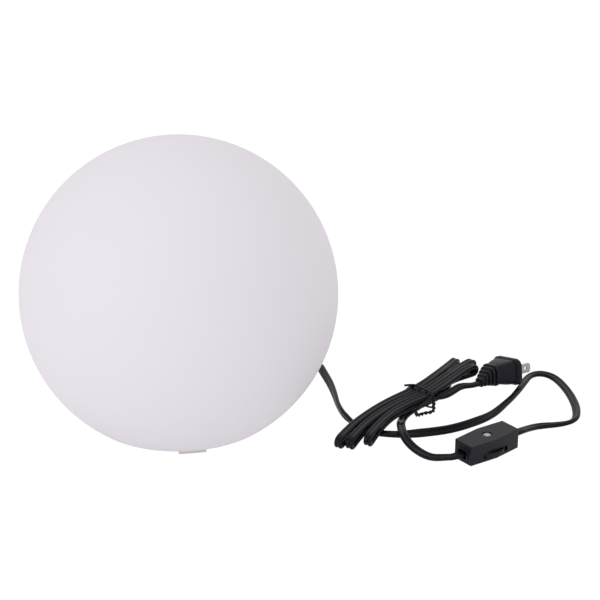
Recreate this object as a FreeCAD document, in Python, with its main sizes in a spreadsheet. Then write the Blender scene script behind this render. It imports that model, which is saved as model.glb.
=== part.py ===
import FreeCAD, Part
import math
import os
import re
import Sketcher

# Garden globe light: a white ball on a dished base with a bulb inside, and its
# twin cord with a switch, a folded hank under a wire tie, and a two-blade plug.
# Frame: origin on the floor under the ball's axis, +Z up, millimetres.

Vector = FreeCAD.Vector
Rotation = FreeCAD.Rotation
doc = FreeCAD.newDocument("garden_globe_light")
sheet = doc.addObject("Spreadsheet::Sheet", "Sizes")
sums = doc.addObject("Spreadsheet::Sheet", "Sums")

SIZES = {
    # ball
    "globe_radius": 127.0, "globe_wall": 2.4, "flat_radius": 74.6, "rim_fillet": 6.0,
    "neck_radius": 56.6, "rim_land": 4.4,
    # base cover and feet
    "foot_height": 5.0, "foot_width": 22.0, "foot_depth": 8.0, "foot_corner": 1.5,
    "foot_inset": 1.6, "peg_radius": 2.2, "first_foot_angle": -80.0,
    "cover_thick": 3.0, "dish_wall": 2.8, "dish_depth": 17.0, "lead_in": 1.0, "rib_start": 10.0,
    "rib_thick": 1.8, "rib_depth": 5.0, "slide_gap": 0.3, "fit_gap": 0.1,
    # cord bushing
    "outlet_reach": 36.5, "outlet_angle": 55.0, "bushing_radius": 6.4, "bushing_flange": 8.6,
    "bushing_drop": 4.0, "bushing_lip": 1.6,
    # lampholder
    "holder_radius": 20.0, "holder_height": 40.0, "holder_flange": 27.0,
    "holder_flange_thick": 4.0, "holder_bore": 14.4, "skirt_radius": 16.5, "skirt_height": 10.0,
    "holder_floor": 5.0, "holder_screw_reach": 23.6, "screw_radius": 1.6, "screw_head": 3.0,
    "screw_head_height": 2.0, "holder_shell_wall": 0.6, "holder_shell_height": 20.0,
    "contact_width": 6.0, "contact_height": 3.2, "terminal_height": 9.0,
    "terminal_head": 3.2, "terminal_shank": 1.5, "wire_radius": 1.6,
    # bulb
    "cap_radius": 13.2, "cap_height": 22.0, "tip_radius": 4.8, "tip_height": 1.6,
    "insulator_height": 3.0, "housing_low_radius": 14.4, "housing_top_radius": 27.0,
    "housing_height": 34.0, "housing_wall": 1.6, "housing_flare": 60.0, "board_thick": 1.6,
    "dome_height": 43.08, "dome_wall": 1.2,
    # cord
    "cord_width": 7.2, "cord_thick": 3.6, "floor_gap": 0.05,
    # switch
    "switch_x": 243.3, "switch_y": -66.3, "switch_yaw": 38.1, "switch_length": 50.8,
    "switch_width": 18.6, "switch_bulge": 2.4, "switch_height": 16.5, "switch_split": 6.8,
    "switch_wall": 1.7, "switch_end_wall": 5.2, "port_depth": 3.4, "port_width": 9.0,
    "port_height": 6.7, "wheel_radius": 14.3, "wheel_thick": 3.7, "wheel_low": 2.8,
    "post_radius": 3.0, "slot_length": 25.0, "switch_screw_head": 3.3, "screw_recess": 3.85,
    "switch_screw_shank": 1.5, "nut_radius": 3.2, "nut_height": 2.4, "contact_thick": 0.6,
    "port_lift": 0.45, "contact_block": 5.0, "screw_sink": 1.2, "screw_low": 0.3, "screw_edge": 0.4,
    "screw_dome": 1.0, "knurl_radius": 0.8,
    # plug
    "plug_x": 272.0, "plug_y": 58.5, "plug_yaw": 50.0, "plug_pitch": 6.0, "plug_roll": 4.0,
    "flange_width": 28.0, "flange_tall": 24.0, "flange_thick": 5.0, "flange_corner": 6.0,
    "body_width": 24.0, "body_tall": 21.0, "neck_width": 18.0, "neck_tall": 16.0,
    "body_length": 15.0, "collar_width": 19.0, "collar_tall": 18.0, "collar_thick": 3.4,
    "rib_pitch": 3.2, "rib_step": 2.4, "relief_end": 9.6, "relief_gap": 1.3,
    "blade_length": 17.5, "blade_thick": 1.5, "blade_narrow": 6.35, "blade_wide": 7.94,
    "blade_spacing": 12.7, "blade_hole": 1.55, "blade_hole_reach": 11.9, "blade_root": 4.0,
    # tie
    "tie_thick": 2.0, "tie_side_gap": 1.2, "tie_flat_gap": 0.5, "tie_corner": 1.5,
}
FOOT_COUNT = 4
RIB_COUNT = 6
RELIEF_RIBS = 4
KNURLS = 36

for row, (alias, value) in enumerate(SIZES.items(), start=1):
    sheet.set("A%d" % row, alias)
    sheet.set("B%d" % row, str(value))
    sheet.setAlias("B%d" % row, alias)
doc.recompute()


def size(name):
    """One driving size, read from the sheet."""
    return float(sheet.get(name))


def bound(text):
    """An expression in which every size's name is read from the sheet."""
    return re.sub(r"[a-z_]+", lambda word: ("Sizes." if word[0] in SIZES else "") + word[0], text)


def value_of(text):
    """The number that such an expression has now."""
    sums.set("A1", "=" + bound(text))
    sums.recompute()
    return float(sums.get("A1"))


parts = []


def keep(item, label):
    """Names a finished sub-part; the label becomes its file's name."""
    item.Label = label
    parts.append(item)
    return item


def place(item, x="0", y="0", z="0"):
    """Binds an object's place to the sheet."""
    for axis, text in (("x", x), ("y", y), ("z", z)):
        if text != "0":
            item.setExpression("Placement.Base." + axis, bound(text))
    return item


def cylinder(name, radius, height, x="0", y="0", z="0"):
    item = doc.addObject("Part::Cylinder", name)
    item.setExpression("Radius", bound(radius))
    item.setExpression("Height", bound(height))
    return place(item, x, y, z)


def box(name, length, width, height, x="0", y="0", z="0"):
    item = doc.addObject("Part::Box", name)
    item.setExpression("Length", bound(length))
    item.setExpression("Width", bound(width))
    item.setExpression("Height", bound(height))
    return place(item, x, y, z)


def cut(name, base, *tools):
    """The base less each tool in turn."""
    for number, tool in enumerate(tools):
        item = doc.addObject("Part::Cut", "%s_cut_%d" % (name, number))
        item.Base, item.Tool = base, tool
        base = item
    return base


def fuse(name, *pieces):
    item = doc.addObject("Part::MultiFuse", name)
    item.Shapes = list(pieces)
    return item


def group(name, *pieces):
    """Separate solids kept under one node."""
    item = doc.addObject("Part::Compound", name)
    item.Links = list(pieces)
    return item


def outline(body, name, role, points, arcs):
    """A sketch of a closed outline on one origin plane, each corner bound to the sheet."""
    sketch = body.newObject("Sketcher::SketchObject", name)
    plane = [f for f in body.Origin.OriginFeatures if f.Role == role][0]
    sketch.AttachmentSupport = [(plane, "")]
    sketch.MapMode = "FlatFace"
    flat = [Vector(value_of(u), value_of(v), 0) for u, v in points]
    count = len(flat)
    ends = []
    for i in range(count):
        start, end = flat[i], flat[(i + 1) % count]
        if i in arcs:
            sketch.addGeometry(arc_between(start, end, value_of(arcs[i][0]), arcs[i][1]), False)
        else:
            sketch.addGeometry(Part.LineSegment(start, end), False)
        # an arc drawn the other way round has its ends swapped
        forward = (sketch.Geometry[i].StartPoint - start).Length < 1e-6
        ends.append((1, 2) if forward else (2, 1))
    for i in range(count):
        following = (i + 1) % count
        sketch.addConstraint(Sketcher.Constraint("Coincident", i, ends[i][1], following, ends[following][0]))
    for i, corner in enumerate(points):
        for kind, axis, text in (("DistanceX", -2, corner[0]), ("DistanceY", -1, corner[1])):
            if text == "0":
                sketch.addConstraint(Sketcher.Constraint("PointOnObject", i, ends[i][0], axis))
            else:
                index = sketch.addConstraint(
                    Sketcher.Constraint(kind, -1, 1, i, ends[i][0], value_of(text)))
                sketch.setExpression("Constraints[%d]" % index, bound(text))
        if i in arcs:
            index = sketch.addConstraint(Sketcher.Constraint("Radius", i, value_of(arcs[i][0])))
            sketch.setExpression("Constraints[%d]" % index, bound(arcs[i][0]))
    return sketch


def revolved(name, points, arcs=None):
    """A body turned about Z from a closed outline of (radius, height) expressions.
    arcs maps a segment's number to (radius, the side its centre lies on)."""
    body = doc.addObject("PartDesign::Body", name)
    sketch = outline(body, name + "_outline", "XZ_Plane", points, arcs or {})
    turn = body.newObject("PartDesign::Revolution", name + "_turn")
    turn.Profile = sketch
    turn.ReferenceAxis = (sketch, ["V_Axis"])
    turn.Angle = 360.0
    body.Tip = turn
    return body


def prism(name, points, height, z="0"):
    """A body padded upwards from a closed outline of (x, y) expressions, standing at z."""
    body = doc.addObject("PartDesign::Body", name)
    sketch = outline(body, name + "_outline", "XY_Plane", points, {})
    pad = body.newObject("PartDesign::Pad", name + "_pad")
    pad.Profile = sketch
    pad.setExpression("Length", bound(height))
    body.Tip = pad
    return place(body, z=z)


def arc_between(start, end, radius, side):
    """The short arc from start to end with its centre on the given side, -1 or 1."""
    middle = (start + end) * 0.5
    chord = end - start
    normal = Vector(-chord.y, chord.x, 0).normalize()
    rise = math.sqrt(max(radius ** 2 - (chord.Length / 2) ** 2, 0))
    centre = middle + normal * (rise * side)
    top = centre + (middle - centre).normalize() * radius
    return Part.ArcOfCircle(Part.Circle(centre, Vector(0, 0, 1), radius),
                            *arc_angles(centre, start, top, end))


def arc_angles(centre, start, top, end):
    """The angles of an arc's ends, in the order that runs anticlockwise through top."""
    def angle(point):
        return math.atan2(point.y - centre.y, point.x - centre.x)
    a, b, t = angle(start), angle(end), angle(top)
    if (t - a) % (2 * math.pi) < (b - a) % (2 * math.pi):
        return a, a + (b - a) % (2 * math.pi)
    return b, b + (a - b) % (2 * math.pi)


def polar(reach, angle):
    """The x and y expressions of a point at a reach and an angle in degrees."""
    return "%s * cos(%s)" % (reach, angle), "%s * sin(%s)" % (reach, angle)


def turned(item, angle):
    """Turns a finished object about Z by an angle in degrees."""
    item.Placement = FreeCAD.Placement(Vector(), Rotation(Vector(0, 0, 1), angle))
    return item


# --- ball: a sphere cut flat below, its rim rounded, with a neck and a shallow recess
CENTRE = "(foot_height + sqrt(globe_radius^2 - flat_radius^2))"
SEAT = "(foot_height + cover_thick)"
RECESS = "(flat_radius - rim_land)"
RIM_RISE = "(%s - foot_height - rim_fillet)" % CENTRE
RIM_REACH = "sqrt((globe_radius - rim_fillet)^2 - %s^2)" % RIM_RISE
RIM_SCALE = "globe_radius / (globe_radius - rim_fillet)"
INSIDE = "(globe_radius - globe_wall)"
RING_TOP = "(%s + globe_wall)" % SEAT
keep(revolved("globe_shell", [
    ("neck_radius", SEAT),
    (RECESS, SEAT),
    (RECESS, "foot_height"),
    (RIM_REACH, "foot_height"),
    ("%s * %s" % (RIM_REACH, RIM_SCALE), "%s - %s * %s" % (CENTRE, RIM_RISE, RIM_SCALE)),
    ("0", CENTRE + " + globe_radius"),
    ("0", CENTRE + " + " + INSIDE),
    ("sqrt(%s^2 - (%s - %s)^2)" % (INSIDE, CENTRE, RING_TOP), RING_TOP),
    ("neck_radius", RING_TOP),
], {3: ("rim_fillet", 1), 4: ("globe_radius", 1), 6: (INSIDE, -1)}), "globe_shell")

# --- base cover: a flat rim, a dish that is the ball's spigot, a panel and ribs under it
PANEL = "(foot_height + dish_depth)"
PANEL_LOW = "(foot_height + dish_depth - cover_thick)"
SPIGOT = "(neck_radius - slide_gap)"
DISH = "(neck_radius - slide_gap - dish_wall)"
FOOT_REACH = "(%s - foot_inset)" % RECESS
FOOT_MIDDLE = "(%s - foot_depth / 2)" % FOOT_REACH
foot_angles = [size("first_foot_angle") + 360 * i / FOOT_COUNT for i in range(FOOT_COUNT)]
OUTLET_X, OUTLET_Y = polar("outlet_reach", "outlet_angle")
HOLDER_SCREWS = [polar("holder_screw_reach", "outlet_angle + %d" % turn) for turn in (-90, 90)]
cover_disc = revolved("cover_disc", [
    (RECESS + " - slide_gap", "foot_height"),
    (RECESS + " - slide_gap", SEAT),
    (SPIGOT, SEAT),
    (SPIGOT, PANEL + " - lead_in"),
    (SPIGOT + " - lead_in", PANEL),
    ("0", PANEL),
    ("0", PANEL_LOW),
    (DISH, PANEL_LOW),
    (DISH, "foot_height"),
])
ribs = []
for i in range(RIB_COUNT):
    rib = box("cover_rib_%d" % i, DISH + " + dish_wall / 2 - rib_start", "rib_thick",
              "rib_depth + cover_thick / 2", "rib_start", "-rib_thick / 2", PANEL_LOW + " - rib_depth")
    arm = doc.addObject("Part::Compound", "cover_arm_%d" % i)
    arm.Links = [rib]
    ribs.append(turned(arm, size("outlet_angle") + 360 * (i + 0.5) / RIB_COUNT))
peg_holes = [cylinder("peg_hole_%d" % i, "peg_radius + fit_gap", "cover_thick * 2",
                      *polar(FOOT_MIDDLE, "first_foot_angle + %g" % (360 * i / FOOT_COUNT)),
                      "foot_height - cover_thick / 2") for i in range(FOOT_COUNT)]
outlet_hole = cylinder("outlet_hole", "bushing_radius + fit_gap", "cover_thick * 2",
                       OUTLET_X, OUTLET_Y, PANEL_LOW + " - cover_thick / 2")
cover_screw_holes = [cylinder("cover_screw_hole_%d" % i, "screw_radius + fit_gap", "cover_thick * 2",
                              x, y, PANEL_LOW + " - cover_thick / 2")
                     for i, (x, y) in enumerate(HOLDER_SCREWS)]
keep(cut("base_cover", fuse("cover_blank", cover_disc, *ribs), outlet_hole, *peg_holes,
         *cover_screw_holes), "base_cover")

# --- feet: rounded blocks whose pegs push into the rim
for i, angle in enumerate(foot_angles):
    block = box("foot_block_%d" % i, "foot_depth", "foot_width", "foot_height",
                FOOT_REACH + " - foot_depth", "-foot_width / 2")
    doc.recompute()
    rounded = doc.addObject("Part::Fillet", "foot_rounded_%d" % i)
    rounded.Base = block
    rounded.Edges = [(n + 1, size("foot_corner"), size("foot_corner"))
                     for n, edge in enumerate(block.Shape.Edges)
                     if abs(edge.tangentAt(edge.FirstParameter).z) > 0.9]
    peg = cylinder("foot_peg_%d" % i, "peg_radius", SEAT, FOOT_MIDDLE)
    keep(turned(fuse("foot_%d" % (i + 1), rounded, peg), angle), "foot_%d" % (i + 1))

# --- cord bushing: a flanged plug through the panel that grips the cord
keep(place(revolved("cord_bushing", [
    ("0", PANEL_LOW + " - bushing_drop"),
    ("bushing_radius * 0.8", PANEL_LOW + " - bushing_drop"),
    ("bushing_radius", PANEL_LOW + " - bushing_drop / 2"),
    ("bushing_radius", PANEL),
    ("bushing_flange", PANEL),
    ("bushing_flange", PANEL + " + bushing_lip"),
    ("0", PANEL + " + bushing_lip"),
]), OUTLET_X, OUTLET_Y), "cord_bushing")

# --- lampholder: a cup on a flange, hollow below for the wires, with its metal inside
HOLDER_FLOOR = "(%s + skirt_height + holder_floor)" % PANEL
TERMINAL_Z = "(%s + terminal_height)" % PANEL
terminal_angles = [size("outlet_angle") - 52, size("outlet_angle") + 52]
holder_cup = revolved("holder_cup", [
    ("skirt_radius", PANEL),
    ("holder_flange", PANEL),
    ("holder_flange", PANEL + " + holder_flange_thick"),
    ("holder_radius", PANEL + " + holder_flange_thick"),
    ("holder_radius", PANEL + " + holder_height"),
    ("holder_bore", PANEL + " + holder_height"),
    ("holder_bore", HOLDER_FLOOR),
    ("0", HOLDER_FLOOR),
    ("0", PANEL + " + skirt_height"),
    ("skirt_radius", PANEL + " + skirt_height"),
])
flange_holes = [cylinder("flange_hole_%d" % i, "screw_radius + fit_gap", "holder_flange_thick * 2",
                         x, y, PANEL + " - 1") for i, (x, y) in enumerate(HOLDER_SCREWS)]


def radial_pin(name, radius, start, length, angle):
    """A cylinder lying along a radius at the terminals' height."""
    item = cylinder(name, radius, length)
    direction = Vector(math.cos(math.radians(angle)), math.sin(math.radians(angle)), 0)
    item.Placement = FreeCAD.Placement(direction * value_of(start) + Vector(0, 0, value_of(TERMINAL_Z)),
                                       Rotation(Vector(0, 0, 1), direction))
    return item


shank_holes = [radial_pin("shank_hole_%d" % i, "terminal_shank + fit_gap", "skirt_radius - 2",
                          "holder_radius - skirt_radius + 4", angle)
               for i, angle in enumerate(terminal_angles)]
keep(cut("lampholder_body", holder_cup, *flange_holes, *shank_holes), "lampholder_body")
keep(revolved("lampholder_shell", [
    ("holder_bore - fit_gap", HOLDER_FLOOR),
    ("holder_bore - fit_gap", HOLDER_FLOOR + " + holder_shell_height"),
    ("holder_bore - fit_gap - holder_shell_wall", HOLDER_FLOOR + " + holder_shell_height"),
    ("holder_bore - fit_gap - holder_shell_wall", HOLDER_FLOOR),
]), "lampholder_shell")
keep(fuse("lampholder_contact",
          box("contact_strip", "contact_width * 3", "contact_width", "contact_thick",
              "-contact_width * 1.5", "-contact_width / 2", HOLDER_FLOOR),
          cylinder("contact_rivet", "contact_width * 0.4", "contact_height", z=HOLDER_FLOOR)),
     "lampholder_contact")
keep(group("lampholder_screws", *[
    fuse("holder_screw_%d" % i,
         cylinder("holder_screw_head_%d" % i, "screw_head", "screw_head_height", x, y,
                  PANEL + " + holder_flange_thick"),
         cylinder("holder_screw_shank_%d" % i, "screw_radius", "holder_flange_thick + cover_thick + 1",
                  x, y, PANEL_LOW + " - 1"))
    for i, (x, y) in enumerate(HOLDER_SCREWS)]), "lampholder_screws")
keep(group("terminal_screws", *[
    fuse("terminal_%d" % i,
         radial_pin("terminal_head_%d" % i, "terminal_head", "holder_radius", "screw_head_height", angle),
         radial_pin("terminal_shank_%d" % i, "terminal_shank", "skirt_radius + 0.2",
                    "holder_radius - skirt_radius", angle))
    for i, angle in enumerate(terminal_angles)]), "terminal_screws")

# --- bulb: screw cap, housing with its light board, and opal dome
BULB = "(%s + contact_height + slide_gap)" % HOLDER_FLOOR
INSULATOR = "(%s + tip_height)" % BULB
CAP = "(%s + insulator_height)" % INSULATOR
HOUSING = "(%s + cap_height)" % CAP
RIM = "(%s + housing_height)" % HOUSING
LEDGE = "(%s - board_thick)" % RIM
keep(cylinder("bulb_tip", "tip_radius", "tip_height", z=BULB), "bulb_tip")
keep(revolved("bulb_insulator", [
    ("0", INSULATOR), ("tip_radius + 0.8", INSULATOR), ("cap_radius * 0.8", CAP), ("0", CAP)]),
    "bulb_insulator")
keep(revolved("bulb_cap", [
    ("0", CAP), ("cap_radius * 0.82", CAP), ("cap_radius", CAP + " + insulator_height"),
    ("cap_radius", HOUSING), ("0", HOUSING)]), "bulb_cap")
keep(revolved("bulb_housing", [
    ("0", HOUSING),
    ("housing_low_radius", HOUSING),
    ("housing_low_radius", HOUSING + " + housing_wall * 2"),
    ("housing_top_radius", RIM),
    ("housing_top_radius - housing_wall", RIM),
    ("housing_top_radius - housing_wall", LEDGE),
    ("housing_top_radius - housing_wall * 2.5", LEDGE),
    ("housing_low_radius - housing_wall", HOUSING + " + housing_wall * 2"),
    ("0", HOUSING + " + housing_wall * 2"),
], {2: ("housing_flare", 1)}), "bulb_housing")
keep(cylinder("bulb_board", "housing_top_radius - housing_wall - fit_gap", "board_thick", z=LEDGE),
     "bulb_board")
DOME_RADIUS = "((housing_top_radius^2 + dome_height^2) / (2 * dome_height))"
DOME_CENTRE = "(%s + dome_height - %s)" % (RIM, DOME_RADIUS)
DOME_INSIDE = "(%s - dome_wall)" % DOME_RADIUS
keep(revolved("bulb_dome", [
    ("sqrt(%s^2 - (%s - %s)^2)" % (DOME_INSIDE, DOME_CENTRE, RIM), RIM),
    ("housing_top_radius", RIM),
    ("0", RIM + " + dome_height"),
    ("0", DOME_CENTRE + " + " + DOME_INSIDE),
], {1: (DOME_RADIUS, 1), 3: (DOME_INSIDE, -1)}), "bulb_dome")

# --- switch on the cord: two half shells, a thumbwheel on the screw's post, contacts
def hexagon(inset_end, inset_side, bulge):
    """The switch's plan: a long six-sided outline, widest in the middle."""
    half_l = "(switch_length / 2 - %s)" % inset_end
    half_w = "(switch_width / 2 - %s)" % inset_side
    middle = "(switch_width / 2 + %s - %s)" % (bulge, inset_side)
    return [("-" + half_l, "-" + half_w), ("0", "-" + middle), (half_l, "-" + half_w),
            (half_l, half_w), ("0", middle), ("-" + half_l, half_w)]


PORT_LOW = "(switch_split + port_lift - port_height / 2)"
SWITCH_CAVITY = hexagon("switch_end_wall", "switch_wall", "switch_bulge")
SWITCH_OUTSIDE = hexagon("0", "0", "switch_bulge")


def port(name, side, low, height):
    """The pocket in one end of a half shell that the cord's end sits in."""
    start = "switch_length / 2 - port_depth" if side > 0 else "-switch_length / 2 - port_depth"
    return box(name, "port_depth * 2", "port_width", height, start, "-port_width / 2", low)


def seat_switch(item):
    """Moves a finished piece of the switch to where it lies."""
    item.Placement = FreeCAD.Placement(Vector(size("switch_x"), size("switch_y"), size("floor_gap")),
                                       Rotation(Vector(0, 0, 1), size("switch_yaw")))
    return item


bottom_cup = cut("switch_bottom_cup",
                 prism("switch_bottom_block", SWITCH_OUTSIDE, "switch_split"),
                 prism("switch_bottom_cavity", SWITCH_CAVITY, "switch_split", "switch_wall"))
bottom_post = cylinder("switch_bottom_post", "post_radius", "switch_split - switch_wall", z="switch_wall")
wheel_ring = cylinder("switch_wheel_ring", "post_radius + 2", "wheel_low - slide_gap - switch_wall",
                      z="switch_wall")
contact_blocks = [box("switch_contact_block_%d" % i, "contact_block", "contact_block",
                      "switch_split - switch_wall",
                      "switch_length / 2 - switch_end_wall - contact_block" if i else
                      "-switch_length / 2 + switch_end_wall", "-contact_block / 2", "switch_wall")
                  for i in range(2)]
nut_recess = doc.addObject("Part::Prism", "switch_nut_recess")
nut_recess.Polygon = 6
nut_recess.setExpression("Circumradius", bound("nut_radius + fit_gap"))
nut_recess.setExpression("Height", bound("nut_height"))
keep(seat_switch(cut(
    "switch_bottom", fuse("switch_bottom_blank", bottom_cup, bottom_post, wheel_ring, *contact_blocks),
    box("switch_slot", "slot_length", "switch_width * 2", "switch_split - wheel_low + slide_gap * 2",
        "-slot_length / 2", "-switch_width", "wheel_low - slide_gap"),
    port("port_low_right", 1, PORT_LOW, "port_height"),
    port("port_low_left", -1, PORT_LOW, "port_height"),
    nut_recess,
    cylinder("bottom_screw_hole", "switch_screw_shank + fit_gap", "switch_split"))), "switch_bottom")

top_cup = cut("switch_top_cup",
              prism("switch_top_block", SWITCH_OUTSIDE, "switch_height - switch_split", "switch_split"),
              prism("switch_top_cavity", SWITCH_CAVITY, "switch_height - switch_split - switch_wall",
                    "switch_split"))
doc.recompute()
top_post = cylinder("switch_top_post", "post_radius + 2", "switch_height - switch_split", z="switch_split")
SCREW_SEAT = "(switch_height - screw_sink)"
top_blank = cut("switch_top", fuse("switch_top_blank", top_cup, top_post),
                port("port_high_right", 1, PORT_LOW, "port_height"),
                port("port_high_left", -1, PORT_LOW, "port_height"),
                cylinder("switch_head_recess", "screw_recess", "screw_sink * 2", z=SCREW_SEAT),
                cylinder("top_screw_hole", "switch_screw_shank + fit_gap", "switch_height"))
keep(seat_switch(top_blank), "switch_top")

wheel = cut("switch_wheel",
            cylinder("wheel_disc", "wheel_radius", "wheel_thick", z="wheel_low"),
            cylinder("wheel_bore", "post_radius + slide_gap", "wheel_thick * 2", z="wheel_low - 1"),
            *[cylinder("wheel_groove_%d" % i, "knurl_radius", "wheel_thick * 2",
                       *polar("(wheel_radius + knurl_radius * 0.4)", "%g" % (360 * i / KNURLS)),
                       "wheel_low - 1") for i in range(KNURLS)])
keep(seat_switch(wheel), "switch_wheel")
keep(seat_switch(revolved("switch_screw_turn", [
    ("0", "screw_low"), ("switch_screw_shank", "screw_low"), ("switch_screw_shank", SCREW_SEAT),
    ("switch_screw_head", SCREW_SEAT), ("switch_screw_head", SCREW_SEAT + " + screw_edge"),
    ("0", SCREW_SEAT + " + screw_edge + screw_dome")],
    {4: ("(switch_screw_head^2 + screw_dome^2) / (2 * screw_dome)", 1)})), "switch_screw")
nut_blank = doc.addObject("Part::Prism", "switch_nut_blank")
nut_blank.Polygon = 6
nut_blank.setExpression("Circumradius", bound("nut_radius"))
nut_blank.setExpression("Height", bound("nut_height - screw_low"))
place(nut_blank, z="screw_low")
keep(seat_switch(cut("switch_nut", nut_blank, cylinder("nut_bore", "switch_screw_shank + fit_gap",
                                                       "nut_height * 2"))), "switch_nut")
keep(seat_switch(group("switch_contacts", *[
    box("switch_contact_%d" % i, "contact_block + 3", "contact_block - 2", "contact_thick",
        "switch_length / 2 - switch_end_wall - contact_block - 3" if i else
        "-switch_length / 2 + switch_end_wall", "-contact_block / 2 + 1", "switch_split")
    for i in range(2)])), "switch_contacts")

# --- plug: flange, tapered body, collar and ribbed strain relief, with two flat blades
plug_turn = (Rotation(Vector(0, 0, 1), size("plug_yaw")) * Rotation(Vector(0, 1, 0), size("plug_pitch"))
             * Rotation(Vector(1, 0, 0), size("plug_roll")))


def slab(name, thick, width, tall, corner, start):
    """A block across the plug's axis with its four long edges rounded."""
    block = box(name + "_block", thick, width, tall, start, "-(%s) / 2" % width, "-(%s) / 2" % tall)
    doc.recompute()
    item = doc.addObject("Part::Fillet", name)
    item.Base = block
    radius = value_of(corner)
    item.Edges = [(n + 1, radius, radius) for n, edge in enumerate(block.Shape.Edges)
                  if abs(edge.tangentAt(edge.FirstParameter).x) > 0.9]
    return item


def rounded_wire(x, width, tall, corner):
    """A rounded rectangle across the plug's axis."""
    w, t, c = width / 2, tall / 2, min(corner, width / 2.01, tall / 2.01)
    k = c * (1 - math.sqrt(0.5))
    edges = []
    for sy, sz in ((1, 1), (-1, 1), (-1, -1), (1, -1)):
        a, b = Vector(x, sy * w, sz * (t - c)), Vector(x, sy * (w - c), sz * t)
        arc = Part.Arc(a, Vector(x, sy * (w - k), sz * (t - k)), b) if sy * sz > 0 else \
            Part.Arc(b, Vector(x, sy * (w - k), sz * (t - k)), a)
        edges.append(arc.toShape())
    ends = [(e.valueAt(e.FirstParameter), e.valueAt(e.LastParameter)) for e in edges]
    joined = []
    for i, edge in enumerate(edges):
        joined += [edge, Part.makeLine(ends[i][1], ends[(i + 1) % 4][0])]
    return Part.Wire(joined)


def tapered(name, start, end):
    """A loft between two rounded rectangles, each (x, width, tall, corner) in expressions."""
    wires = [rounded_wire(*[value_of(text) for text in one]) for one in (start, end)]
    item = doc.addObject("Part::Feature", name)
    item.Shape = Part.makeLoft(wires, True, True)
    return item


BODY_START = "-flange_thick"
COLLAR = "(-flange_thick - body_length)"
RELIEF = "(-flange_thick - body_length - collar_thick)"
RELIEF_LENGTH = "(rib_pitch * %d)" % RELIEF_RIBS
plug_pieces = [
    slab("plug_flange", "flange_thick", "flange_width", "flange_tall", "flange_corner", BODY_START),
    tapered("plug_taper", (BODY_START, "body_width", "body_tall", "flange_corner * 0.8"),
            (COLLAR, "neck_width", "neck_tall", "flange_corner * 0.6")),
    slab("plug_collar", "collar_thick", "collar_width", "collar_tall", "flange_corner * 0.8", RELIEF),
    tapered("plug_relief", (RELIEF, "collar_width - rib_step * 1.6", "collar_tall - rib_step * 2.2",
                            "flange_corner * 0.6"),
            (RELIEF + " - " + RELIEF_LENGTH, "relief_end", "relief_end * 0.7", "flange_corner * 0.5")),
]
for i in range(RELIEF_RIBS):
    plug_pieces.append(slab("plug_rib_%d" % i, "rib_pitch - relief_gap",
                            "collar_width - rib_step * %d" % (i + 1),
                            "collar_tall - rib_step * %g" % (1.15 * (i + 1)),
                            "flange_corner * %g" % (0.6 - 0.09 * i),
                            "%s - rib_pitch * %d" % (RELIEF, i + 1)))


def blade(name, tall, side):
    """One flat blade with a root inside the body and a hole near its end."""
    plate = box(name + "_plate", "blade_length + blade_root", "blade_thick", tall, "-blade_root",
                "%d * blade_spacing / 2 - blade_thick / 2" % side, "-%s / 2" % tall)
    hole = cylinder(name + "_hole", "blade_hole", "blade_thick * 4")
    hole.Placement = FreeCAD.Placement(
        Vector(size("blade_hole_reach"), value_of("%d * blade_spacing / 2 - blade_thick * 2" % side), 0),
        Rotation(Vector(0, 0, 1), Vector(0, 1, 0)))
    doc.recompute()
    nose = doc.addObject("Part::Chamfer", name + "_nose")
    nose.Base = plate
    nose.Edges = [(n + 1, size("blade_thick") * 1.4, size("blade_thick") * 0.9)
                  for n, edge in enumerate(plate.Shape.Edges)
                  if edge.CenterOfMass.x > size("blade_length") - 0.01
                  and abs(edge.tangentAt(edge.FirstParameter).y) > 0.9]
    return cut(name, nose, hole)


def root_hole(name, tall, side):
    return box(name, "blade_root * 2", "blade_thick", tall, "-blade_root",
               "%d * blade_spacing / 2 - blade_thick / 2" % side, "-%s / 2" % tall)


# the wide blade is on the right, seen from the cord
plug_body = cut("plug_body", fuse("plug_blank", *plug_pieces),
                root_hole("wide_root", "blade_wide", -1), root_hole("narrow_root", "blade_narrow", 1))
blade_wide = blade("plug_blade_wide", "blade_wide", -1)
blade_narrow = blade("plug_blade_narrow", "blade_narrow", 1)
doc.recompute()
turned_body = plug_body.Shape.copy()
turned_body.transformShape(FreeCAD.Placement(Vector(), plug_turn).toMatrix())
plug_place = FreeCAD.Placement(Vector(size("plug_x"), size("plug_y"),
                                      size("floor_gap") - turned_body.optimalBoundingBox().ZMin), plug_turn)
for item, label in ((plug_body, "plug_body"), (blade_wide, "plug_blade_wide"),
                    (blade_narrow, "plug_blade_narrow")):
    item.Placement = plug_place
    keep(item, label)
PLUG_TAIL = plug_place.multVec(Vector(value_of(RELIEF + " - " + RELIEF_LENGTH), 0, 0))


# --- cords: straight runs joined by tangent arcs, swept with a flat round-edged section
def route(points):
    """The edges of a path through its corners, and the radius of each arc."""
    edges, radii, start = [], [], points[0]
    for before, corner, after in zip(points, points[1:], points[2:]):
        inward, outward = corner - before, after - corner
        half_turn = inward.getAngle(outward) / 2
        reach = 0.45 * min(inward.Length, outward.Length)
        inward.normalize()
        outward.normalize()
        first, last = corner - inward * reach, corner + outward * reach
        radius = reach / math.tan(half_turn)
        rise = radius / math.cos(half_turn) - radius
        top = corner + (outward - inward).normalize() * rise
        edges += [Part.makeLine(start, first), Part.Arc(first, top, last).toShape()]
        radii.append(radius)
        start = last
    edges.append(Part.makeLine(start, points[-1]))
    return edges, radii


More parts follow.
